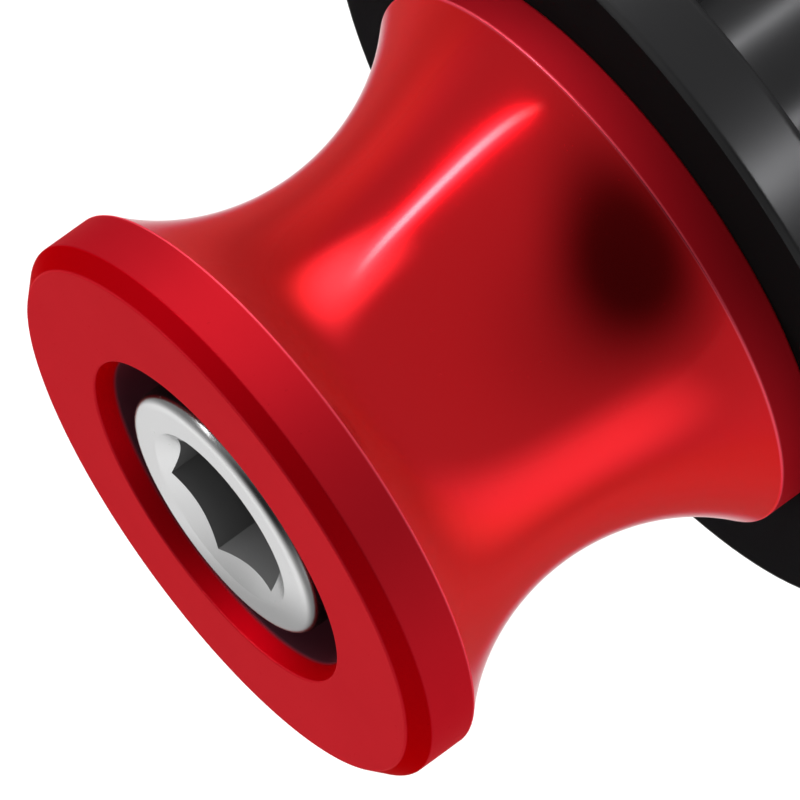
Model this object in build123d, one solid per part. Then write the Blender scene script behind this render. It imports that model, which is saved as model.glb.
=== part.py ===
from build123d import *
from math import cos, radians, tan
import os

# A swingarm spool as it is bolted on: spool, cap screw and backing flange.
# The turning axis is Y. The origin is on it, at the hub end that seats on the swingarm,
# and the open front face looks along -Y.

# Spool, outside
waist_radius = 14.8
groove_depth = 5.2
groove_width = 24.8
front_land = 3.4
rear_land = 2.8
face_chamfer = 1.2
edge_break = 0.25

# Spool, inside
recess_clearance = 2.5
mouth_taper = 0.6
mouth_depth = 1.4
hole_clearance = 0.75

# Cap screw, size M12
shank_radius = 6.0
thread_radius = 5.9
thread_length = 36.0
thread_runout = 0.8
thread_engagement = 21.5
point_chamfer = 1.1
head_radius = 9.0
head_height = 12.0
head_chamfer = 0.5
head_inset = 0.4
socket_across_flats = 10.0
socket_depth = 6.0
socket_countersink = 0.65
countersink_angle = 120.0
socket_point_angle = 120.0
socket_turn = 23.0

# Backing flange
flange_overhang = 8.2
flange_thickness = 4.7
flange_chamfer = 0.4
hub_wall = 2.75
hub_length = 14.0
hub_chamfer = 0.5

# Radii that follow from the values above
rim_radius = waist_radius + groove_depth
recess_radius = head_radius + recess_clearance
hole_radius = shank_radius + hole_clearance
flange_radius = rim_radius + flange_overhang
hub_radius = hole_radius + hub_wall

# Stations along the axis, from the seat forwards
seat_y = 0.0
flange_rear_y = seat_y - hub_length
flange_front_y = flange_rear_y - flange_thickness
groove_rear_y = flange_front_y - rear_land
groove_front_y = groove_rear_y - groove_width
land_front_y = groove_front_y - front_land
face_y = land_front_y - face_chamfer
head_front_y = face_y + head_inset
head_seat_y = head_front_y + head_height
screw_end_y = seat_y + thread_engagement
thread_start_y = screw_end_y - thread_length


def turned(outline):
    """Revolve a closed outline, drawn as radius against Y, about the turning axis."""
    return revolve(make_face(outline), Axis.Y)


def rings(part, radius, y):
    """Find the circular edges of one radius that lie at one station."""
    return [
        edge
        for edge in part.edges().filter_by(GeomType.CIRCLE)
        if abs(edge.radius - radius) < 1e-4 and abs(edge.arc_center.Y - y) < 1e-4
    ]


def make_spool_body():
    """Turn the spool: two rims, the concave groove between them and the stepped bore."""
    groove_middle = (waist_radius, (groove_front_y + groove_rear_y) / 2)
    groove_front = (rim_radius, groove_front_y)
    groove_rear = (rim_radius, groove_rear_y)
    groove = ThreePointArc(groove_rear, groove_middle, groove_front)
    rear = Polyline(
        (hole_radius, head_seat_y),
        (hole_radius, flange_front_y),
        (rim_radius, flange_front_y),
        groove_rear,
    )
    front = Polyline(
        groove_front,
        (rim_radius, land_front_y),
        (rim_radius - face_chamfer, face_y),
        (recess_radius + mouth_taper, face_y),
        (recess_radius, face_y + mouth_depth),
        (recess_radius, head_seat_y),
        (hole_radius, head_seat_y),
    )
    spool = turned(rear + groove + front)
    sharp = rings(spool, rim_radius, groove_front_y) + rings(spool, rim_radius, groove_rear_y)
    return chamfer(sharp + rings(spool, rim_radius, flange_front_y), edge_break)


def make_screw_blank():
    """Turn the cap screw without its socket. Its thread is plain, at the thread's outer radius."""
    outline = Polyline(
        (0, head_front_y),
        (head_radius, head_front_y),
        (head_radius, head_seat_y),
        (shank_radius, head_seat_y),
        (shank_radius, thread_start_y - thread_runout),
        (thread_radius, thread_start_y),
        (thread_radius, screw_end_y - point_chamfer),
        (thread_radius - point_chamfer, screw_end_y),
        (0, screw_end_y),
        close=True,
    )
    blank = turned(outline)
    return chamfer(rings(blank, head_radius, head_front_y), head_chamfer)


def make_socket():
    """Shape what is cut from the head: a hexagon, its countersink and its drilled point."""
    apothem = socket_across_flats / 2
    mouth = Plane(origin=(0, head_front_y, 0), x_dir=(1, 0, 0), z_dir=(0, 1, 0))
    hexagon = RegularPolygon(apothem, 6, major_radius=False, rotation=-socket_turn)
    prism = extrude(mouth * hexagon, socket_depth)
    corner_radius = apothem / cos(radians(30))
    wide = corner_radius + socket_countersink
    countersink_depth = wide / tan(radians(countersink_angle / 2))
    point_depth = apothem / tan(radians(socket_point_angle / 2))
    floor_y = head_front_y + socket_depth
    countersink = Polyline(
        (0, head_front_y),
        (wide, head_front_y),
        (0, head_front_y + countersink_depth),
        close=True,
    )
    point = Polyline((0, floor_y), (apothem, floor_y), (0, floor_y + point_depth), close=True)
    return prism + turned(countersink) + turned(point)


def make_cap_screw():
    """Cut the hexagon socket into the turned screw."""
    return make_screw_blank() - make_socket()


def make_backing_flange():
    """Turn the wide disc behind the spool and the hub that seats on the swingarm."""
    outline = Polyline(
        (hole_radius, flange_front_y),
        (flange_radius, flange_front_y),
        (flange_radius, flange_rear_y),
        (hub_radius, flange_rear_y),
        (hub_radius, seat_y),
        (hole_radius, seat_y),
        close=True,
    )
    flange = turned(outline)
    rims = rings(flange, flange_radius, flange_front_y) + rings(flange, flange_radius, flange_rear_y)
    flange = chamfer(rims, flange_chamfer)
    return chamfer(rings(flange, hub_radius, seat_y), hub_chamfer)


parts = {
    "spool_body": make_spool_body(),
    "cap_screw": make_cap_screw(),
    "backing_flange": make_backing_flange(),
}

os.makedirs("parts", exist_ok=True)
for name, shape in parts.items():
    shape.label = name
    export_step(shape, "parts/" + name + ".step")
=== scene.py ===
"""Looks of the swingarm spool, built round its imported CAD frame."""

import logging
import math
from collections.abc import Iterable
from dataclasses import dataclass, field
from enum import Enum

import bmesh
import bpy
from mathutils import Matrix, Vector


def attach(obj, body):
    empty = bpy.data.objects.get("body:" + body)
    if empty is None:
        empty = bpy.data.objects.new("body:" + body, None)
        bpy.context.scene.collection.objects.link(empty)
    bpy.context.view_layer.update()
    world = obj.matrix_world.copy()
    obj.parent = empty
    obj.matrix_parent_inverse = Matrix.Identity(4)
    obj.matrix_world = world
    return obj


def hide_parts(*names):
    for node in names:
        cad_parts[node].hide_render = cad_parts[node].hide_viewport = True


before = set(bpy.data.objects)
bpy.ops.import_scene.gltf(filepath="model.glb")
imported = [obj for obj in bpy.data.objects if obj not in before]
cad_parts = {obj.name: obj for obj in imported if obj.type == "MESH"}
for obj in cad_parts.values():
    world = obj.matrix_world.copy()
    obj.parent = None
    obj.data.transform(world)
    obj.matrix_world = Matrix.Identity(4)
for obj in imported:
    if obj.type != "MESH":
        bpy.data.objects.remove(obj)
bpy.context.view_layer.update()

MM = 0.001
AXIS = Vector((0, 1, 0))
BODY = "root"

# Degrees past which an edge is sharp
SHARP = 28
# Metres within which points are one, a point lies at a station, and a point lies on a cut's plane
WELD, AT_STATION, ON_CUT = 1e-7, 1e-6, 1e-8
# Millimetres that a finish's stretch runs on past the end of its piece
PAST_END = 1.0
# Watts for each square metre of a lamp that looks as bright as a wall of strength 1
LAMP_POWER = 4.0
# Where the node that mixes colours has its share, its colours and its result
MIX_SHARE, MIX_FIRST, MIX_SECOND, MIX_RESULT = 0, 6, 7, 2

log = logging.getLogger("swingarm_spool")

Socket = bpy.types.NodeSocket
Colour = tuple[float, float, float]
Inputs = dict[str | int, object] | tuple[object, ...]


class Slot(Enum):
    """The record's material slots."""

    RED = "red_anodised"
    STEEL = "bright_steel"
    BLACK = "black_anodised"


class Sheet:
    """A node tree with short ways to add nodes and join them."""

    def __init__(self, tree: bpy.types.NodeTree) -> None:
        """Take over a tree and empty it.

        Args:
            tree: The tree of a material, a world, a lamp or a group.
        """
        self.tree = tree
        tree.nodes.clear()

    def add(self, kind: str, inputs: Inputs = (), **settings: object) -> bpy.types.Node:
        """Add a node.

        Args:
            kind: The node's type, without its ShaderNode prefix.
            inputs: What its inputs are given, by name or in order.
            settings: Properties to set on it.

        Returns:
            The new node.
        """
        prefix = "" if kind.startswith("NodeGroup") else "ShaderNode"
        node = self.tree.nodes.new(prefix + kind)
        for name, value in settings.items():
            setattr(node, name, value)
        for key, value in inputs.items() if isinstance(inputs, dict) else enumerate(inputs):
            self.set(node.inputs[key], value)
        return node

    def set(self, target: Socket, value: object) -> None:
        """Give an input socket a value, or join an output socket to it.

        Args:
            target: The input socket.
            value: A number, a colour or an output socket.
        """
        if isinstance(value, bpy.types.NodeSocket):
            self.tree.links.new(value, target)
        elif isinstance(value, tuple) and len(value) == 3 and target.type == "RGBA":
            target.default_value = (*value, 1.0)
        else:
            target.default_value = value

    def math(self, operation: str, *values: object) -> Socket:
        """Work out one Math node.

        Args:
            operation: The Math node's operation.
            values: Its inputs, numbers or sockets.

        Returns:
            The result's socket.
        """
        return self.add("Math", values, operation=operation).outputs[0]

    def reach(self, first: Socket, second: Socket) -> Socket:
        """Work out how far two distances at a right angle reach together.

        Args:
            first: One distance.
            second: The other.

        Returns:
            The reach's socket.
        """
        squares = [self.math("MULTIPLY", distance, distance) for distance in (first, second)]
        return self.math("SQRT", self.math("ADD", *squares))

    def along(self, vector: Socket, axis: Vector) -> Socket:
        """Measure a vector along an axis.

        Args:
            vector: The vector.
            axis: The axis, one long.

        Returns:
            The measure's socket.
        """
        return self.add("VectorMath", (vector, axis), operation="DOT_PRODUCT").outputs["Value"]

    def ramp(
        self, value: Socket, low: float, high: float, to: tuple[float, float] = (0, 1)
    ) -> Socket:
        """Turn a value between two limits into a smooth step.

        Args:
            value: The value.
            low: Where the step starts.
            high: Where the step ends.
            to: What it goes from and to.

        Returns:
            The stepped value's socket.
        """
        inputs = (value, low, high, *to)
        return self.add("MapRange", inputs, interpolation_type="SMOOTHSTEP", clamp=True).outputs[0]

    def mix(self, share: Socket, first: object, second: object) -> Socket:
        """Mix two colours.

        Args:
            share: How much of the second one shows.
            first: A colour or its socket.
            second: A colour or its socket.

        Returns:
            The mixed colour's socket.
        """
        inputs = {MIX_SHARE: share, MIX_FIRST: first, MIX_SECOND: second}
        return self.add("Mix", inputs, data_type="RGBA").outputs[MIX_RESULT]

    def noise(self, where: Socket, scale: object, detail: float = 2.0, rough: float = 0.5) -> Socket:
        """Read a noise pattern.

        Args:
            where: The place to read it at.
            scale: The pattern's scale, a number or a socket.
            detail: How many finer layers it has.
            rough: How strong the finer layers are.

        Returns:
            The noise value's socket, about 0 to 1.
        """
        inputs = {"Vector": where, "Scale": scale, "Detail": detail, "Roughness": rough}
        return self.add("TexNoise", inputs).outputs[0]


GroupParts = tuple[Sheet, bpy.types.Node, bpy.types.Node]


def new_group(name: str, inputs: dict[str, float], outputs: Iterable[str]) -> GroupParts:
    """Start a shader node group.

    Args:
        name: The group's name.
        inputs: The name and first value of each input.
        outputs: The name of each output.

    Returns:
        The group's sheet, its input node and its output node.
    """
    tree = bpy.data.node_groups.new(name, "ShaderNodeTree")
    for label, value in inputs.items():
        made = tree.interface.new_socket(label, in_out="INPUT", socket_type="NodeSocketFloat")
        made.default_value = value
    for label in outputs:
        tree.interface.new_socket(label, in_out="OUTPUT", socket_type="NodeSocketFloat")
    sheet = Sheet(tree)
    return sheet, sheet.add("NodeGroupInput"), sheet.add("NodeGroupOutput")


def turned_place(sheet: Sheet) -> tuple[Socket, Socket, Socket]:
    """Read a point's place on a turned piece, from Object coordinates.

    Args:
        sheet: The sheet to add the nodes to.

    Returns:
        The point, its distance from the turning axis and its station along it.
    """
    point = sheet.add("TexCoord").outputs["Object"]
    x, y, z = sheet.add("SeparateXYZ", (point,)).outputs
    return point, sheet.reach(x, z), y


def make_turning_marks() -> bpy.types.NodeTree:
    """Build the group for the fine rings that a cutting tool leaves round a turned piece.

    Returns:
        A group that puts out the rings' height and a broader tone, both about 0 to 1.
    """
    sheet, given, result = new_group(
        "turning_marks", {"Pitch": 0.0001, "Waver": 0.03}, ("Height", "Tone")
    )
    waver_scale, ring_scale, tone_scale = 60.0, 1.0, 0.11
    point, radius, station = turned_place(sheet)
    across = sheet.math("DIVIDE", radius, given.outputs["Pitch"])
    along = sheet.math("DIVIDE", station, given.outputs["Pitch"])
    drift = sheet.math("MULTIPLY", sheet.noise(point, waver_scale), given.outputs["Waver"])
    place = sheet.add("CombineXYZ", (across, along, drift)).outputs[0]
    sheet.set(result.inputs["Height"], sheet.noise(place, ring_scale, detail=1.0))
    sheet.set(result.inputs["Tone"], sheet.noise(place, tone_scale))
    return sheet.tree


def make_edge_wear_and_highlight() -> bpy.types.NodeTree:
    """Build the group that finds a turned edge's paler line: wear, and on the red spool a painted
    highlight.

    Returns:
        A group that puts out a mask, 1 on the edge at the given radius and station.
    """
    sheet, given, result = new_group(
        "edge_wear_and_highlight", {"Radius": 0.02, "Station": 0.0, "Width": 0.0003}, ("Mask",)
    )
    full_share = 0.35
    _, radius, station = turned_place(sheet)
    out = sheet.math("SUBTRACT", radius, given.outputs["Radius"])
    off = sheet.math("SUBTRACT", station, given.outputs["Station"])
    share = sheet.math("DIVIDE", sheet.reach(out, off), given.outputs["Width"])
    sheet.set(result.inputs["Mask"], sheet.ramp(share, full_share, 1.0, (1, 0)))
    return sheet.tree


def make_handling_haze() -> bpy.types.NodeTree:
    """Build the group for the faint uneven sheen of a surface that has been handled.

    Returns:
        A group that puts out a broad haze and sparse fine specks, both 0 to 1.
    """
    sheet, given, result = new_group("handling_haze", {"Scale": 90.0}, ("Haze", "Specks"))
    finer = 42.0
    hazy, specked = (0.3, 0.7), (0.74, 0.8)
    point = sheet.add("TexCoord").outputs["Object"]
    broad = sheet.noise(point, given.outputs["Scale"], detail=3.0, rough=0.55)
    fine = sheet.noise(point, sheet.math("MULTIPLY", given.outputs["Scale"], finer), detail=1.0)
    sheet.set(result.inputs["Haze"], sheet.ramp(broad, *hazy))
    sheet.set(result.inputs["Specks"], sheet.ramp(fine, *specked))
    return sheet.tree


@dataclass
class Effects:
    """The node groups that several finishes share, each built once."""

    marks: bpy.types.NodeTree = field(default_factory=make_turning_marks)
    # Paler edge lines: wear on the black disc, a painted highlight on the red spool
    edge: bpy.types.NodeTree = field(default_factory=make_edge_wear_and_highlight)
    haze: bpy.types.NodeTree = field(default_factory=make_handling_haze)


@dataclass(frozen=True)
class Edge:
    """A turned edge in millimetres: its radius and station, and how far its paler line of wear and painted
    highlight reaches.
    """

    radius: float
    station: float
    width: float

    def mask(self, sheet: Sheet, effects: Effects) -> Socket:
        """Find the paler edge line of wear and painted highlight.

        Args:
            sheet: The material's sheet.
            effects: The shared node groups.

        Returns:
            A socket that is 1 on the edge.
        """
        sizes = {"Radius": self.radius, "Station": self.station, "Width": self.width}
        inputs = {label: size * MM for label, size in sizes.items()}
        return sheet.add("Group", inputs, node_tree=effects.edge).outputs["Mask"]


@dataclass(frozen=True)
class Stretch:
    """A stretch of a turned piece with a finish of its own. Its ends are in millimetres."""

    front: float
    rear: float
    roughness: float
    colour: Colour
    grazing: Colour
    coat: float = 0.0
    softness: float = 0.06

    def mask(self, sheet: Sheet) -> Socket:
        """Find the stretch.

        Args:
            sheet: The material's sheet.

        Returns:
            A socket that is 1 on the stretch.
        """
        _, _, station = turned_place(sheet)
        front, rear, soft = self.front * MM, self.rear * MM, self.softness * MM
        into = sheet.ramp(station, front - soft, front + soft)
        out = sheet.ramp(station, rear - soft, rear + soft, (1, 0))
        return sheet.math("MULTIPLY", into, out)


@dataclass(frozen=True)
class Tone:
    """A painted shade: a darker colour that comes in over some millimetres from the axis, all round or one
    way.
    """

    start: float
    end: float
    colour: Colour
    share: float
    way: tuple[float, float, float] | None = None

    def over(self, sheet: Sheet, colour: Socket) -> Socket:
        """Lay the painted shade over a colour.

        Args:
            sheet: The material's sheet.
            colour: The colour.

        Returns:
            The mixed colour's socket.
        """
        point, radius, _ = turned_place(sheet)
        off = radius if self.way is None else sheet.along(point, Vector(self.way).normalized())
        share = sheet.ramp(off, self.start * MM, self.end * MM, (0, self.share))
        return sheet.mix(share, colour, self.colour)


@dataclass(frozen=True)
class MetalFinish:
    """A metal surface with turning marks, an uneven sheen and paler edges of wear and painted highlight.

    Its lengths are in millimetres. The painted shade lies under the stretches, and the painted recess shade
    over all.
    """

    name: str
    colour: Colour
    deep: Colour
    roughness: float
    metallic: float = 1.0
    specular: float = 0.5
    grazing: Colour = (1.0, 1.0, 1.0)
    coat_roughness: float = 0.1
    coat_fade: tuple[float, float] = (0.3, 0.85)
    coat_left: float = 0.35
    mark_pitch: float = 0.09
    mark_height: float = 0.0004
    tone_share: float = 0.25
    haze: float = 0.03
    speck: float = 0.12
    edge_wear_and_highlight_colour: Colour = (1.0, 1.0, 1.0)
    edge_wear_and_highlight_share: float = 0.5
    edges: tuple[Edge, ...] = ()
    rounding: float = 0.0
    stretches: tuple[Stretch, ...] = ()
    # Painted shade: darker towards one side, and darker where the piece sits in a recess
    shade: Tone | None = None
    painted_recess_shade: Tone | None = None
    mirror_reach: float = 0.0
    mirror_fade: float = 1.5
    mirror_fill: float = 0.0

    def make(self, effects: Effects) -> bpy.types.Material:
        """Build the material.

        Args:
            effects: The shared node groups.

        Returns:
            The material.
        """
        made = bpy.data.materials.new(self.name)
        made.use_nodes = True
        sheet = Sheet(made.node_tree)
        marks = sheet.add("Group", {"Pitch": self.mark_pitch * MM}, node_tree=effects.marks)
        masks = [stretch.mask(sheet) for stretch in self.stretches]
        shader = sheet.add("BsdfPrincipled", {
            "Base Color": self.paint(sheet, effects, marks.outputs["Tone"], masks),
            "Metallic": self.metallic,
            "Roughness": self.roughen(sheet, effects, masks),
            "Specular Tint": self.graze(sheet, masks),
            "Specular IOR Level": self.specular,
            "Coat Weight": self.lay_coat(sheet, masks),
            "Coat Roughness": self.coat_roughness,
            "Normal": self.cut_marks(sheet, marks.outputs["Height"]),
        })
        seen = shader.outputs[0]
        if self.mirror_reach:
            seen = self.fade_mirror_image(sheet, seen)
        sheet.add("OutputMaterial", {"Surface": seen})
        made.cycles.emission_sampling = "NONE"
        return made

    def paint(self, sheet: Sheet, effects: Effects, tone: Socket, masks: list[Socket]) -> Socket:
        """Mix the surface's colour, with its painted shade, its paler edge lines and its painted recess
        shade.

        Args:
            sheet: The material's sheet.
            effects: The shared node groups.
            tone: The turning marks' broad tone.
            masks: The masks of the stretches.

        Returns:
            The colour's socket.
        """
        colour = sheet.mix(sheet.math("MULTIPLY", tone, self.tone_share), self.colour, self.deep)
        # Painted shade towards one side
        if self.shade is not None:
            colour = self.shade.over(sheet, colour)
        for stretch, within in zip(self.stretches, masks):
            colour = sheet.mix(within, colour, stretch.colour)
        # Paler edge lines: wear, and on the red spool a painted highlight
        for edge in self.edges:
            wear_and_highlight_mask = sheet.math("MULTIPLY", edge.mask(sheet, effects), self.edge_wear_and_highlight_share)
            colour = sheet.mix(wear_and_highlight_mask, colour, self.edge_wear_and_highlight_colour)
        # Painted shade in the recess
        if self.painted_recess_shade is not None:
            colour = self.painted_recess_shade.over(sheet, colour)
        return colour

    def roughen(self, sheet: Sheet, effects: Effects, masks: list[Socket]) -> Socket:
        """Work out the surface's roughness, with its haze and its specks.

        Args:
            sheet: The material's sheet.
            effects: The shared node groups.
            masks: The masks of the stretches.

        Returns:
            The roughness's socket.
        """
        smooth = self.roughness - self.haze / 2
        for stretch, within in zip(self.stretches, masks):
            smooth = sheet.math("MULTIPLY_ADD", within, stretch.roughness - self.roughness, smooth)
        haze = sheet.add("Group", node_tree=effects.haze)
        lift = sheet.math("MULTIPLY_ADD", haze.outputs["Haze"], self.haze, smooth)
        return sheet.math("MULTIPLY_ADD", haze.outputs["Specks"], self.speck, lift)

    def graze(self, sheet: Sheet, masks: list[Socket]) -> Socket | Colour:
        """Work out the colour that the metal takes on at a grazing view.

        Args:
            sheet: The material's sheet.
            masks: The masks of the stretches.

        Returns:
            The colour's socket, or the colour where it is the same all over.
        """
        grazing = self.grazing
        for stretch, within in zip(self.stretches, masks):
            if stretch.grazing != self.grazing:
                grazing = sheet.mix(within, grazing, stretch.grazing)
        return grazing

    def lay_coat(self, sheet: Sheet, masks: list[Socket]) -> Socket | float:
        """Work out the clear coat of the stretches, which is thinner at a grazing view.

        Args:
            sheet: The material's sheet.
            masks: The masks of the stretches.

        Returns:
            The coat's socket, or 0 where there is none.
        """
        coats = [(stretch.coat, within) for stretch, within in zip(self.stretches, masks) if stretch.coat]
        if not coats:
            return 0.0
        coat = 0.0
        for weight, within in coats:
            coat = sheet.math("MULTIPLY_ADD", within, weight, coat)
        facing = sheet.add("LayerWeight").outputs["Facing"]
        return sheet.math("MULTIPLY", coat, sheet.ramp(facing, *self.coat_fade, (1, self.coat_left)))

    def cut_marks(self, sheet: Sheet, height: Socket) -> Socket:
        """Work out the surface's normal, with its turning marks and its edges' rounding.

        Args:
            sheet: The material's sheet.
            height: The turning marks' height.

        Returns:
            The normal's socket.
        """
        inputs = {"Strength": 1.0, "Distance": self.mark_height * MM, "Height": height}
        if self.rounding:
            inputs["Normal"] = sheet.add("Bevel", {"Radius": self.rounding * MM}, samples=6).outputs[0]
        return sheet.add("Bump", inputs).outputs[0]

    def fade_mirror_image(self, sheet: Sheet, surface: Socket) -> Socket:
        """Keep the piece out of what metal further off than its reach mirrors, or fill its image evenly.

        Args:
            sheet: The material's sheet.
            surface: The surface's shader.

        Returns:
            The surface, see-through or evenly bright to mirrored rays from far off.
        """
        path = sheet.add("LightPath")
        reach = self.mirror_reach * MM
        far = sheet.ramp(path.outputs["Ray Length"], reach, reach * self.mirror_fade)
        share = sheet.math("MULTIPLY", far, path.outputs["Is Glossy Ray"])
        # Filled, the piece's image in far-off metal is an even glow: a painted reflection
        if self.mirror_fill:
            beyond = sheet.add("Emission", {"Strength": self.mirror_fill})
        else:
            beyond = sheet.add("BsdfTransparent")
        return sheet.add("MixShader", (share, surface, beyond.outputs[0])).outputs[0]


def dress(piece: bpy.types.Object, *finishes: bpy.types.Material) -> None:
    """Give a piece its materials.

    Args:
        piece: The piece.
        finishes: Its materials, in the order of its slots.
    """
    while len(piece.material_slots) < len(finishes):
        piece.data.materials.append(None)
    for slot, finish in zip(piece.material_slots, finishes):
        slot.material = finish


@dataclass(frozen=True)
class Corner:
    """A corner of a turned section in millimetres: its radius, its station and its rounding."""

    radius: float
    station: float
    rounding: float = 0.0

    @property
    def place(self) -> Vector:
        """The corner's place in the section's plane."""
        return Vector((self.radius, self.station))


def soften(corners: list[Corner], steps: int = 5, guard: float = 0.04) -> list[Vector]:
    """Round the corners of a section.

    Args:
        corners: The corners, in order.
        steps: How many runs each rounding has.
        guard: How far beyond a rounding a point holds the straight run flat, in millimetres.

    Returns:
        The section's points, as radius and station.
    """
    points = []
    for before, corner, after in zip([corners[0], *corners], corners, [*corners[1:], corners[-1]]):
        if not corner.rounding:
            points.append(corner.place)
            continue
        back = (before.place - corner.place).normalized()
        on = (after.place - corner.place).normalized()
        half = back.angle(on) / 2
        reach = corner.rounding / math.tan(half)
        centre = corner.place + (back + on).normalized() * corner.rounding / math.sin(half)
        first = corner.place + back * reach - centre
        last = corner.place + on * reach - centre
        points.append(corner.place + back * (reach + guard))
        for step in range(steps + 1):
            points.append(centre + corner.rounding * first.slerp(last, step / steps))
        points.append(corner.place + on * (reach + guard))
    return points


def spin_section(points: list[Vector], sides: int, first: float = 0.0) -> bmesh.types.BMesh:
    """Spin a section all the way round the turning axis.

    Args:
        points: The section, as radius and station in millimetres.
        sides: How many sides the turned shape has.
        first: The angle of its first side, in degrees from the right towards the top.

    Returns:
        The turned shape in metres, with its doubles merged.
    """
    shape = bmesh.new()
    turn = math.radians(first)
    out = Vector((math.cos(turn), 0, math.sin(turn)))
    verts = [shape.verts.new((out * point.x + AXIS * point.y) * MM) for point in points]
    edges = [shape.edges.new(pair) for pair in zip(verts, verts[1:])]
    bmesh.ops.spin(
        shape, geom=verts + edges, cent=(0, 0, 0), axis=AXIS, dvec=(0, 0, 0),
        angle=math.tau, steps=sides, use_merge=True,
    )
    bmesh.ops.remove_doubles(shape, verts=shape.verts, dist=WELD)
    return shape


def finish_piece(shape: bmesh.types.BMesh, name: str, node: str) -> bpy.types.Object:
    """Make a shape into a piece that stands for a CAD node.

    Args:
        shape: The shape, which is freed.
        name: The piece's name.
        node: The CAD node that it stands for.

    Returns:
        The piece's object.
    """
    mesh = bpy.data.meshes.new(name)
    for face in shape.faces:
        face.smooth = True
    shape.to_mesh(mesh)
    shape.free()
    mesh.set_sharp_from_angle(angle=math.radians(SHARP))
    piece = bpy.data.objects.new(name, mesh)
    bpy.context.scene.collection.objects.link(piece)
    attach(piece, BODY)
    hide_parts(node)
    return piece


@dataclass
class SpoolBody:
    """The red turned spool, its edges as finely broken as the real ones. Sizes are in millimetres."""

    node: str = "spool_body"
    rim_radius: float = 20.0
    waist_radius: float = 14.8
    front_face: float = -50.9
    front_edge: float = -46.3
    rear_edge: float = -21.5
    rear_face: float = -18.7
    face_chamfer: float = 1.2
    recess_radius: float = 11.5
    mouth_taper: float = 0.6
    mouth_depth: float = 1.4
    recess_floor: float = -38.5
    hole_radius: float = 6.75
    edge_break: float = 0.14
    land_rounding: float = 0.25
    face_rounding: float = 0.18
    mouth_rounding: float = 0.2
    floor_fillet: float = 0.3
    groove_steps: int = 72
    sides: int = 288

    def groove(self) -> list[Corner]:
        """Bend the groove's arc from its rear edge to its front edge.

        Returns:
            Its corners, of which the first and the last are rounded.
        """
        half = (self.rear_edge - self.front_edge) / 2
        depth = self.rim_radius - self.waist_radius
        bend = (half * half + depth * depth) / (2 * depth)
        reach = math.asin(half / bend)
        middle = (self.rear_edge + self.front_edge) / 2
        corners = []
        for step in range(self.groove_steps + 1):
            angle = reach * (1 - 2 * step / self.groove_steps)
            radius = self.waist_radius + bend * (1 - math.cos(angle))
            rounding = self.edge_break if step in (0, self.groove_steps) else 0.0
            corners.append(Corner(radius, middle + bend * math.sin(angle), rounding))
        return corners

    def section(self) -> list[Vector]:
        """Draw the half section, which closes on itself.

        Returns:
            Its points, as radius and station.
        """
        mouth = self.recess_radius + self.mouth_taper
        rear = [
            Corner(self.hole_radius, self.recess_floor),
            Corner(self.hole_radius, self.rear_face),
            Corner(self.rim_radius, self.rear_face, self.edge_break),
        ]
        front = [
            Corner(self.rim_radius, self.front_face + self.face_chamfer, self.land_rounding),
            Corner(self.rim_radius - self.face_chamfer, self.front_face, self.face_rounding),
            Corner(mouth, self.front_face, self.edge_break),
            Corner(self.recess_radius, self.front_face + self.mouth_depth, self.mouth_rounding),
            Corner(self.recess_radius, self.recess_floor, self.floor_fillet),
            Corner(self.hole_radius, self.recess_floor),
        ]
        return soften(rear + self.groove() + front)

    def stretches(self) -> tuple[Stretch, ...]:
        """Describe the finishes of the groove, the front chamfer, whose darker red is painted shade, and
        the front face.

        Returns:
            The three stretches.
        """
        face_end = self.front_face + 0.1
        groove = Stretch(
            self.front_edge, self.rear_edge, roughness=0.15, coat=0.25,
            colour=(0.6, 0.0038, 0.0085), grazing=(0.62, 0.12, 0.16),
        )
        # Painted shade: the chamfer's red is darker than the rims' red
        chamfer = Stretch(
            face_end, self.front_face + self.face_chamfer, roughness=0.62,
            colour=(0.43, 0.001, 0.006), grazing=(0.9, 0.2, 0.2),
        )
        face = Stretch(
            self.front_face - PAST_END, face_end, roughness=0.62,
            colour=(0.58, 0.0145, 0.025), grazing=(1.0, 0.5, 0.5),
        )
        return groove, chamfer, face

    def finish(self) -> MetalFinish:
        """Describe the red finish: matt on the rims and faces, and polished in the groove, with painted
        highlights on the rim edges and painted shade on the rims' lamp side and in the recess.

        Returns:
            The finish.
        """
        line_radius, line_width = self.rim_radius - 0.03, 0.16
        wall_start = self.recess_radius + 0.14
        return MetalFinish(
            name="red_anodised_turned",
            colour=(0.52, 0.012, 0.022),
            deep=(0.48, 0.0105, 0.019),
            roughness=0.7,
            grazing=(0.95, 0.46, 0.46),
            coat_roughness=0.05,
            # Painted highlight: a pale pink line along the groove's two rim edges
            edge_wear_and_highlight_colour=(0.9, 0.1, 0.15),
            edge_wear_and_highlight_share=0.6,
            edges=tuple(Edge(line_radius, at, line_width) for at in (self.front_edge, self.rear_edge)),
            stretches=self.stretches(),
            # Painted shade: the rims darker towards -X and up, the side the strip lamp lights
            shade=Tone(
                start=8.0, end=self.rim_radius, share=0.45, way=(-0.8, 0.0, 0.6),
                colour=(0.168, 0.003675, 0.00665),
            ),
            # Painted shade: the recess wall darkened to a dusky near-black
            painted_recess_shade=Tone(
                start=wall_start, end=self.recess_radius, share=0.92, colour=(0.05, 0.026, 0.038)
            ),
            mirror_reach=8.0,
        )

    def build(self, effects: Effects) -> bpy.types.Object:
        """Spin the spool and dress it.

        Args:
            effects: The shared node groups.

        Returns:
            The spool's object.
        """
        shape = spin_section(self.section(), self.sides)
        bmesh.ops.recalc_face_normals(shape, faces=shape.faces[:])
        piece = finish_piece(shape, "spool_body_turned", self.node)
        dress(piece, self.finish().make(effects))
        return piece


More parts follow.
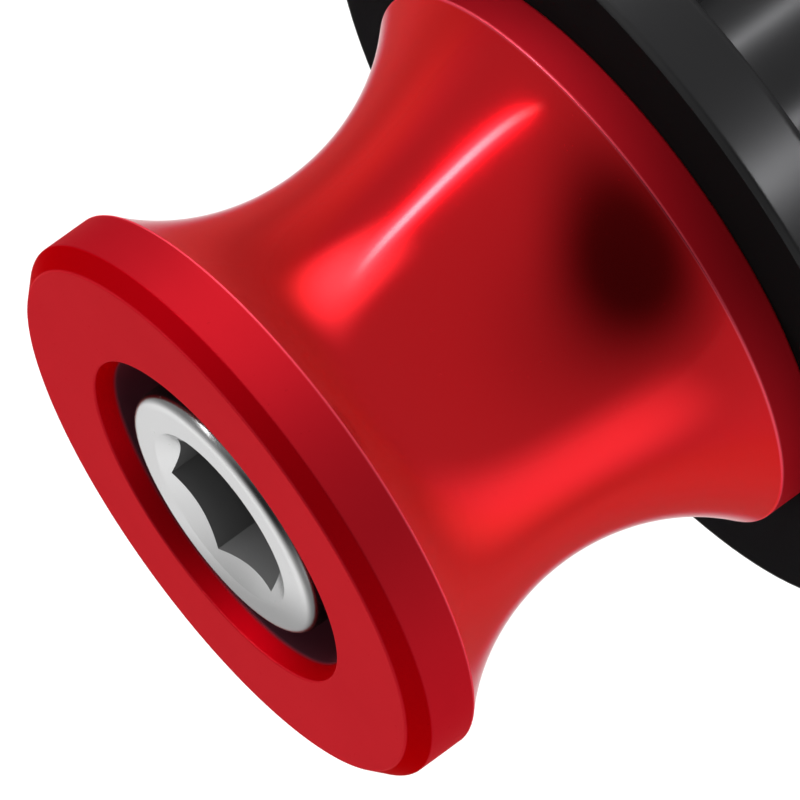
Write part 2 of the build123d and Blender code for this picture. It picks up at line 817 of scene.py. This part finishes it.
@dataclass
class BackingFlange:
    """The black turned disc and hub. Its shape is the CAD node's. Sizes are in millimetres."""

    node: str = "backing_flange"
    disc_radius: float = 28.2
    front: float = -18.7
    rear: float = -14.0
    edge_width: float = 0.5

    def finish(self) -> MetalFinish:
        """Describe the black finish, with the disc's edges a little paler.

        Returns:
            The finish.
        """
        return MetalFinish(
            name="black_anodised_turned",
            colour=(0.031, 0.031, 0.032),
            deep=(0.026, 0.026, 0.027),
            roughness=0.3,
            metallic=0.75,
            specular=0.0,
            grazing=(0.34, 0.34, 0.34),
            edge_wear_and_highlight_colour=(0.07, 0.07, 0.071),
            edges=tuple(Edge(self.disc_radius, at, self.edge_width) for at in (self.front, self.rear)),
            rounding=0.3,
            mirror_reach=10.0,
        )

    def build(self, effects: Effects) -> bpy.types.Object:
        """Dress the CAD node.

        Args:
            effects: The shared node groups.

        Returns:
            The node's object.
        """
        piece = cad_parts[self.node]
        dress(piece, self.finish().make(effects))
        return piece


@dataclass
class CapScrew:
    """The socket cap screw with its real thread, for the CAD screw. Sizes are in millimetres."""

    node: str = "cap_screw"
    head_radius: float = 9.0
    head_front: float = -50.5
    head_seat: float = -38.5
    rounding: float = 0.8
    seat_rounding: float = 0.25
    neck_fillet: float = 0.4
    across_flats: float = 10.0
    socket_depth: float = 6.0
    countersink: float = 0.65
    cone_half_angle: float = 60.0
    point_share: float = 0.95
    guard: float = 0.05
    corner_turn: float = 23.0
    shank_radius: float = 6.0
    thread_radius: float = 5.9
    thread_start: float = -14.5
    runout: float = 0.8
    fade_turns: float = 1.6
    screw_end: float = 21.5
    point_chamfer: float = 1.1
    pitch: float = 1.75
    depth_share: float = 0.54
    root_rounding: float = 0.06
    sides: int = 192
    thread_sides: int = 72

    @property
    def apothem(self) -> float:
        """The distance from the screw's axis to a flat of its socket."""
        return self.across_flats / 2

    @property
    def corner(self) -> float:
        """The distance from the screw's axis to a corner of its socket."""
        return self.apothem / math.cos(math.radians(30))

    @property
    def mouth(self) -> float:
        """The radius of the countersink at the head's face."""
        return self.corner + self.countersink

    @property
    def slope(self) -> float:
        """How far the socket's two cones go in for each millimetre that they close in."""
        return 1 / math.tan(math.radians(self.cone_half_angle))

    @property
    def shank_end(self) -> float:
        """The station where the plain shank ends and the thread starts to form."""
        return self.thread_start - self.runout

    def section(self) -> list[Vector]:
        """Draw the half section from the socket's point to the end of the plain shank.

        Returns:
            Its points, as radius and station.
        """
        floor = self.head_front + self.socket_depth
        socket = [
            Vector((0.0, floor + self.apothem * self.slope)),
            Vector((self.apothem * self.point_share, floor)),
            Vector((self.corner, floor)),
            Vector((self.corner, self.head_front + self.countersink * self.slope)),
            Vector((self.mouth, self.head_front)),
            Vector((self.mouth + self.guard, self.head_front)),
        ]
        outside = [
            Corner(self.mouth + self.guard, self.head_front),
            Corner(self.head_radius, self.head_front, self.rounding),
            Corner(self.head_radius, self.head_seat, self.seat_rounding),
            Corner(self.shank_radius, self.head_seat, self.neck_fillet),
            Corner(self.shank_radius, self.shank_end),
        ]
        return socket + soften(outside, steps=9)[1:]

    def spin_head(self) -> bmesh.types.BMesh:
        """Spin the head and the plain shank, and press the hexagon into the socket's rings.

        Returns:
            The head and the shank, open where the thread starts.
        """
        shape = spin_section(self.section(), self.sides, self.corner_turn)
        for vert in shape.verts:
            radius = math.hypot(vert.co.x, vert.co.z)
            if abs(radius - self.corner * MM) < WELD:
                self.press(vert, radius)
        return shape

    def press(self, vert: bmesh.types.BMVert, radius: float) -> None:
        """Move a point of a socket ring on to the hexagon, and down the countersink if it is at the mouth.

        Args:
            vert: The point.
            radius: Its distance from the axis, in metres.
        """
        angle = math.degrees(math.atan2(vert.co.z, vert.co.x)) - self.corner_turn
        flat = self.apothem / math.cos(math.radians(angle % 60 - 30))
        vert.co.x *= flat * MM / radius
        vert.co.z *= flat * MM / radius
        if vert.co.y < (self.head_front + self.socket_depth / 2) * MM:
            vert.co.y = (self.head_front + (self.mouth - flat) * self.slope) * MM

    def thread_section(self) -> list[tuple[float, float]]:
        """Draw one pitch of the thread: the crest's flat, a flank, the root and the other flank.

        Returns:
            Its points, as radius and share of the pitch.
        """
        depth = self.pitch * self.depth_share
        root = self.thread_radius - depth
        middle = 0.5625
        flank = [
            (self.thread_radius, 0.4375),
            (self.thread_radius - depth * 0.33, 0.3345),
            (self.thread_radius - depth * 0.66, 0.2315),
            (root + self.root_rounding, 0.1425),
            (root, 0.0925),
        ]
        falling = [(radius, middle - off) for radius, off in flank]
        rising = [(radius, middle + off) for radius, off in reversed(flank)]
        return [(self.thread_radius, 0.0), *falling, *rising]

    def spin_thread(self) -> bmesh.types.BMesh:
        """Spin the thread's section along a helix, shape its two ends and cut them square.

        Returns:
            The thread, open at both ends.
        """
        shape = bmesh.new()
        low = self.shank_end - 2 * self.pitch
        turns = math.ceil((self.screw_end - low) / self.pitch) + 1
        points = [
            shape.verts.new(Vector((radius, low + share * self.pitch, 0)) * MM)
            for radius, share in self.thread_section()
        ]
        edges = [shape.edges.new(pair) for pair in zip(points, points[1:])]
        bmesh.ops.spin(
            shape, geom=points + edges, cent=(0, 0, 0), axis=AXIS,
            dvec=AXIS * (self.pitch * MM / self.thread_sides),
            angle=math.tau * turns, steps=self.thread_sides * turns,
        )
        bmesh.ops.remove_doubles(shape, verts=shape.verts, dist=AT_STATION)
        for vert in shape.verts:
            self.turn_ends(vert)
        for station, clear in ((self.shank_end, False), (self.screw_end, True)):
            bmesh.ops.bisect_plane(
                shape, geom=shape.verts[:] + shape.edges[:] + shape.faces[:], dist=ON_CUT,
                plane_co=AXIS * station * MM, plane_no=AXIS, clear_outer=clear, clear_inner=not clear,
            )
        return shape

    def turn_ends(self, vert: bmesh.types.BMVert) -> None:
        """Fade the thread into the shank at one end, and chamfer its point at the other.

        Args:
            vert: A point of the thread.
        """
        radius = math.hypot(vert.co.x, vert.co.z) / MM
        station = vert.co.y / MM
        into = station - self.shank_end - self.guard
        fade = min(1.0, max(0.0, into / (self.fade_turns * self.pitch)))
        target = self.shank_radius + (radius - self.shank_radius) * fade
        limit = self.thread_radius - self.point_chamfer + max(0.0, self.screw_end - station)
        target = min(target, limit)
        vert.co.x *= target / radius
        vert.co.z *= target / radius

    def build(self, effects: Effects) -> bpy.types.Object:
        """Join the head and the thread into one closed screw, and dress it.

        Args:
            effects: The shared node groups.

        Returns:
            The screw's object.
        """
        shape = self.spin_head()
        thread = self.spin_thread()
        loose = bpy.data.meshes.new("thread_alone")
        thread.to_mesh(loose)
        thread.free()
        shape.from_mesh(loose)
        bpy.data.meshes.remove(loose)
        self.close(shape)
        self.mark_socket(shape)
        piece = finish_piece(shape, "cap_screw_threaded", self.node)
        dress(piece, self.finish().make(effects), self.socket_finish().make(effects))
        return piece

    def close(self, shape: bmesh.types.BMesh) -> None:
        """Bridge the shank to the thread, cap the point and turn all faces outwards.

        Args:
            shape: The head and the thread, not yet joined.
        """
        seam = [vert for vert in shape.verts if abs(vert.co.y - self.shank_end * MM) < AT_STATION]
        bmesh.ops.remove_doubles(shape, verts=seam, dist=2 * WELD)
        bmesh.ops.bridge_loops(shape, edges=self.open_edges(shape, self.shank_end))
        bmesh.ops.contextual_create(shape, geom=self.open_edges(shape, self.screw_end))
        bmesh.ops.recalc_face_normals(shape, faces=shape.faces[:])

    def open_edges(self, shape: bmesh.types.BMesh, station: float) -> list[bmesh.types.BMEdge]:
        """Find the open edges that lie at a station.

        Args:
            shape: The shape.
            station: The station.

        Returns:
            The edges.
        """
        return [
            edge for edge in shape.edges
            if edge.is_boundary and all(abs(v.co.y - station * MM) < AT_STATION for v in edge.verts)
        ]

    def mark_socket(self, shape: bmesh.types.BMesh) -> None:
        """Give the faces inside the socket the piece's second material.

        Args:
            shape: The whole screw.
        """
        inside, below_head = (self.head_front + 0.02) * MM, self.head_seat * MM
        for face in shape.faces:
            middle = face.calc_center_median()
            deep = all(vert.co.y > inside for vert in face.verts)
            if deep and middle.y < below_head and math.hypot(middle.x, middle.z) < self.corner * MM:
                face.material_index = 1

    def finish(self) -> MetalFinish:
        """Describe the bright steel of the head and the shank, which is duller on the rolled thread, with
        painted shade on one side and round the head's edge.

        Returns:
            The finish.
        """
        thread = Stretch(
            self.thread_start, self.screw_end + PAST_END, roughness=0.38,
            colour=(0.55, 0.55, 0.55), grazing=(0.6, 0.6, 0.6),
        )
        return MetalFinish(
            name="bright_steel_screw",
            colour=(0.82, 0.82, 0.82),
            deep=(0.68, 0.68, 0.68),
            roughness=0.24,
            grazing=thread.grazing,
            mark_pitch=0.12,
            tone_share=0.3,
            stretches=(thread,),
            # Painted shade: the screw darker towards +X and down
            shade=Tone(
                start=2.0, end=7.5, share=0.75, way=(0.6, 0.0, -0.8), colour=(0.238, 0.238, 0.238)
            ),
            # Painted shade: the head's rim and side darkened where they sit in the recess
            painted_recess_shade=Tone(
                start=self.head_radius - 0.5, end=self.head_radius - 0.1, share=0.85,
                colour=(0.1, 0.1, 0.1),
            ),
            mirror_reach=8.0,
            # Painted reflection: far-off metal mirrors the screw as an even glow
            mirror_fill=0.6,
        )

    def socket_finish(self) -> MetalFinish:
        """Describe the dark forged inside of the socket.

        Returns:
            The finish.
        """
        return MetalFinish(
            name="forged_socket",
            colour=(0.17, 0.17, 0.17),
            deep=(0.14, 0.14, 0.14),
            roughness=0.6,
            metallic=0.0,
            specular=0.1,
        )


def heading(azimuth: float, elevation: float) -> Vector:
    """Turn two angles into a direction. Azimuth 0 is the spool's open front, and 90 is its right.

    Args:
        azimuth: The angle round the upright, in degrees.
        elevation: The angle above the level, in degrees.

    Returns:
        The direction, one long.
    """
    turn, rise = math.radians(azimuth), math.radians(elevation)
    return Vector((math.sin(turn) * math.cos(rise), -math.cos(turn) * math.cos(rise), math.sin(rise)))


@dataclass(frozen=True)
class Softbox:
    """A rectangular studio lamp that faces the spool.

    Its place is from the middle of the spool, and its sizes are in metres. Its level is how bright it
    looks in a mirror. Fade is the share of each half side over which it fades to nothing. Only names the
    one CAD node that it is flagged to light, if it is.
    """

    name: str
    place: tuple[float, float, float]
    length: float
    width: float
    level: float
    long_side: tuple[float, float, float] = (0, 1, 0)
    fade: tuple[float, float] = (1.0, 1.0)
    only: str = ""

    def build(self, middle: Vector) -> None:
        """Add the lamp to the scene, turned to the spool.

        Args:
            middle: The middle of the spool.
        """
        lamp = bpy.data.lights.new(self.name, "AREA")
        lamp.shape = "RECTANGLE"
        lamp.size, lamp.size_y = self.width, self.length
        lamp.energy = LAMP_POWER * self.width * self.length * self.level
        self.grade(lamp)
        holder = bpy.data.objects.new(self.name, lamp)
        away = Vector(self.place).normalized()
        side = Vector(self.long_side).cross(away).normalized()
        turn = Matrix((side, away.cross(side), away)).transposed().to_4x4()
        holder.matrix_world = Matrix.Translation(middle + Vector(self.place)) @ turn
        holder.visible_camera = False
        if self.only:
            lit = bpy.data.collections.new(self.name)
            lit.objects.link(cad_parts[self.only])
            holder.light_linking.receiver_collection = lit
        bpy.context.scene.collection.objects.link(holder)

    def grade(self, lamp: bpy.types.Light) -> None:
        """Fade the lamp's face towards its sides.

        Args:
            lamp: The lamp.
        """
        lamp.use_nodes = True
        sheet = Sheet(lamp.node_tree)
        place = sheet.add("NewGeometry").outputs["Parametric"]
        level = 1.0
        for share, fade in zip(sheet.add("SeparateXYZ", (place,)).outputs, self.fade):
            off = sheet.math("ABSOLUTE", sheet.math("MULTIPLY_ADD", share, 2.0, -1.0))
            level = sheet.math("MULTIPLY", level, sheet.ramp(off, 1 - fade, 1.0, (1, 0)))
        glow = sheet.add("Emission", {"Strength": level})
        sheet.add("OutputLight", {"Surface": glow.outputs[0]})


@dataclass(frozen=True)
class Shade:
    """A darker stretch of the studio's walls. Its angles are in degrees."""

    azimuth: float
    elevation: float
    half_width: float
    half_height: float
    core: float
    level: float

    def over(self, sheet: Sheet, way: Socket, before: object) -> Socket:
        """Darken the walls here.

        Args:
            sheet: The world's sheet.
            way: The direction that is looked in.
            before: The walls' brightness without this shade.

        Returns:
            The walls' brightness with it.
        """
        centre = heading(self.azimuth, self.elevation)
        side = heading(self.azimuth + 90, 0)
        rise = side.cross(centre)
        reach = 0.0
        for axis, half in ((side, self.half_width), (rise, self.half_height)):
            off = sheet.math("DIVIDE", sheet.along(way, axis), math.sin(math.radians(half)))
            reach = sheet.math("MULTIPLY_ADD", off, off, reach)
        faded = sheet.ramp(sheet.math("SQRT", reach), self.core, 1.0, (self.level, 1.0))
        behind = sheet.math("LESS_THAN", sheet.along(way, centre), 0.0)
        return sheet.math("MULTIPLY", before, sheet.math("MAXIMUM", faded, behind))


@dataclass
class Studio:
    """The floor, the room's light, the lamps and the camera. Sizes are in metres."""

    middle: Vector = field(default_factory=lambda: Vector((0, -0.034, 0)))
    floor_drop: float = 0.3
    floor_size: float = 8.0
    floor_glow: float = 0.24
    far_glow: float = 0.42
    near: float = 0.4
    far: float = 1.6
    room: float = 0.8
    camera_aim: Vector = field(default_factory=lambda: Vector((0.001877, -0.037548, 0.003172)))
    camera_azimuth: float = 50.97
    camera_elevation: float = 62.89
    camera_distance: float = 0.9978
    camera_lens: float = 720.3
    shades: tuple[Shade, ...] = (
        Shade(27, 33, half_width=64, half_height=46, core=0.3, level=0.12),
        Shade(60, 38, half_width=89, half_height=75, core=0.3, level=0.72),
    )
    lamps: tuple[Softbox, ...] = (
        Softbox(
            "strip_softbox", (-0.437, 0.02, 0.414), length=1.42, width=0.15, level=4.6,
            long_side=(0.02, 0.99, 0.09), fade=(1.0, 0.85),
        ),
        Softbox(
            "core_softbox", (-0.429, -0.04, 0.404), length=1.25, width=0.058, level=23.0,
            long_side=(0.02, 0.99, 0.09), fade=(0.8, 0.85),
        ),
        Softbox(
            "rear_softbox", (-0.354, 0.408, 0.324), length=0.8, width=0.42, level=3.2,
            long_side=(-0.27, -0.47, 0.53),
        ),
        Softbox("left_softbox", (-0.5, 0.04, -0.02), length=1.0, width=0.45, level=0.3),
        Softbox(
            "disc_softbox", (0.311, 0.172, 0.483), length=0.15, width=0.08, level=75.0,
            only="backing_flange",
        ),
        Softbox(
            "low_softbox", (0.349, 0.113, -0.098), length=1.2, width=0.38, level=0.67,
            long_side=(-0.309, 0.951, 0), fade=(0.9, 0.8),
        ),
    )

    def build(self) -> None:
        """Build the whole studio."""
        self.lay_floor()
        self.light_room()
        for lamp in self.lamps:
            lamp.build(self.middle)
        self.set_camera()
        bpy.context.scene.view_settings.view_transform = "Standard"

    def glow(self, sheet: Sheet) -> Socket:
        """Work out how strongly the floor glows as a background, to the camera or by way of metal or glass.

        To the camera it glows more further out, where the lamps light it less.

        Args:
            sheet: The sheet to add the nodes to.

        Returns:
            The glow's socket, 0 for every other ray.
        """
        path = sheet.add("LightPath")
        place = sheet.add("TexCoord").outputs["Object"]
        spread = sheet.add("VectorMath", (place,), operation="LENGTH").outputs["Value"]
        level = sheet.ramp(spread, self.near, self.far, (self.floor_glow, self.far_glow))
        indirect = [path.outputs[f"Is {kind} Ray"] for kind in ("Glossy", "Transmission")]
        mirrored = sheet.math("MULTIPLY", sheet.math("MAXIMUM", *indirect), self.floor_glow)
        return sheet.math("MULTIPLY_ADD", path.outputs["Is Camera Ray"], level, mirrored)

    def lay_floor(self) -> None:
        """Lay the pale floor, which shows white, keeps the object's shadow and is clear from below."""
        shape = bmesh.new()
        bmesh.ops.create_grid(shape, x_segments=1, y_segments=1, size=self.floor_size / 2)
        bmesh.ops.translate(shape, verts=shape.verts, vec=(0, 0, -self.floor_drop))
        mesh = bpy.data.meshes.new("floor")
        shape.to_mesh(mesh)
        shape.free()
        floor = bpy.data.objects.new("floor", mesh)
        bpy.context.scene.collection.objects.link(floor)
        made = bpy.data.materials.new("pale_floor")
        made.use_nodes = True
        sheet = Sheet(made.node_tree)
        matt = sheet.add("BsdfDiffuse", {"Color": (0.8, 0.8, 0.8)}).outputs[0]
        glow = sheet.add("Emission", {"Strength": self.glow(sheet)}).outputs[0]
        above = sheet.add("AddShader", (matt, glow)).outputs[0]
        below = sheet.add("BsdfTransparent").outputs[0]
        behind = sheet.add("NewGeometry").outputs["Backfacing"]
        seen = sheet.add("MixShader", (behind, above, below)).outputs[0]
        sheet.add("OutputMaterial", {"Surface": seen})
        dress(floor, made)

    def light_room(self) -> None:
        """Light the room evenly from its pale walls, which are darker in front of the spool."""
        world = bpy.data.worlds.new("studio_room")
        bpy.context.scene.world = world
        world.use_nodes = True
        sheet = Sheet(world.node_tree)
        way = sheet.add("TexCoord").outputs["Generated"]
        level: object = self.room
        for shade in self.shades:
            level = shade.over(sheet, way, level)
        light = sheet.add("Background", {"Strength": level})
        sheet.add("OutputWorld", {"Surface": light.outputs[0]})

    def set_camera(self) -> None:
        """Set the camera where the photograph was taken from."""
        back = heading(self.camera_azimuth, self.camera_elevation)
        lens = bpy.data.cameras.new("photo_camera")
        lens.lens = self.camera_lens
        lens.clip_start, lens.clip_end = 0.05, 20
        holder = bpy.data.objects.new("photo_camera", lens)
        holder.location = self.camera_aim + back * self.camera_distance
        holder.rotation_mode = "QUATERNION"
        holder.rotation_quaternion = (-back).to_track_quat("-Z", "Y")
        bpy.context.scene.collection.objects.link(holder)
        bpy.context.scene.camera = holder


def main() -> None:
    """Build the studio and every piece, in order."""
    logging.basicConfig(level=logging.INFO, format="%(name)s: %(message)s")
    Studio().build()
    effects = Effects()
    for part in (SpoolBody(), CapScrew(), BackingFlange()):
        piece = part.build(effects)
        log.info("%s has %d faces", piece.name, len(piece.data.polygons))


if __name__ == "__main__":
    main()
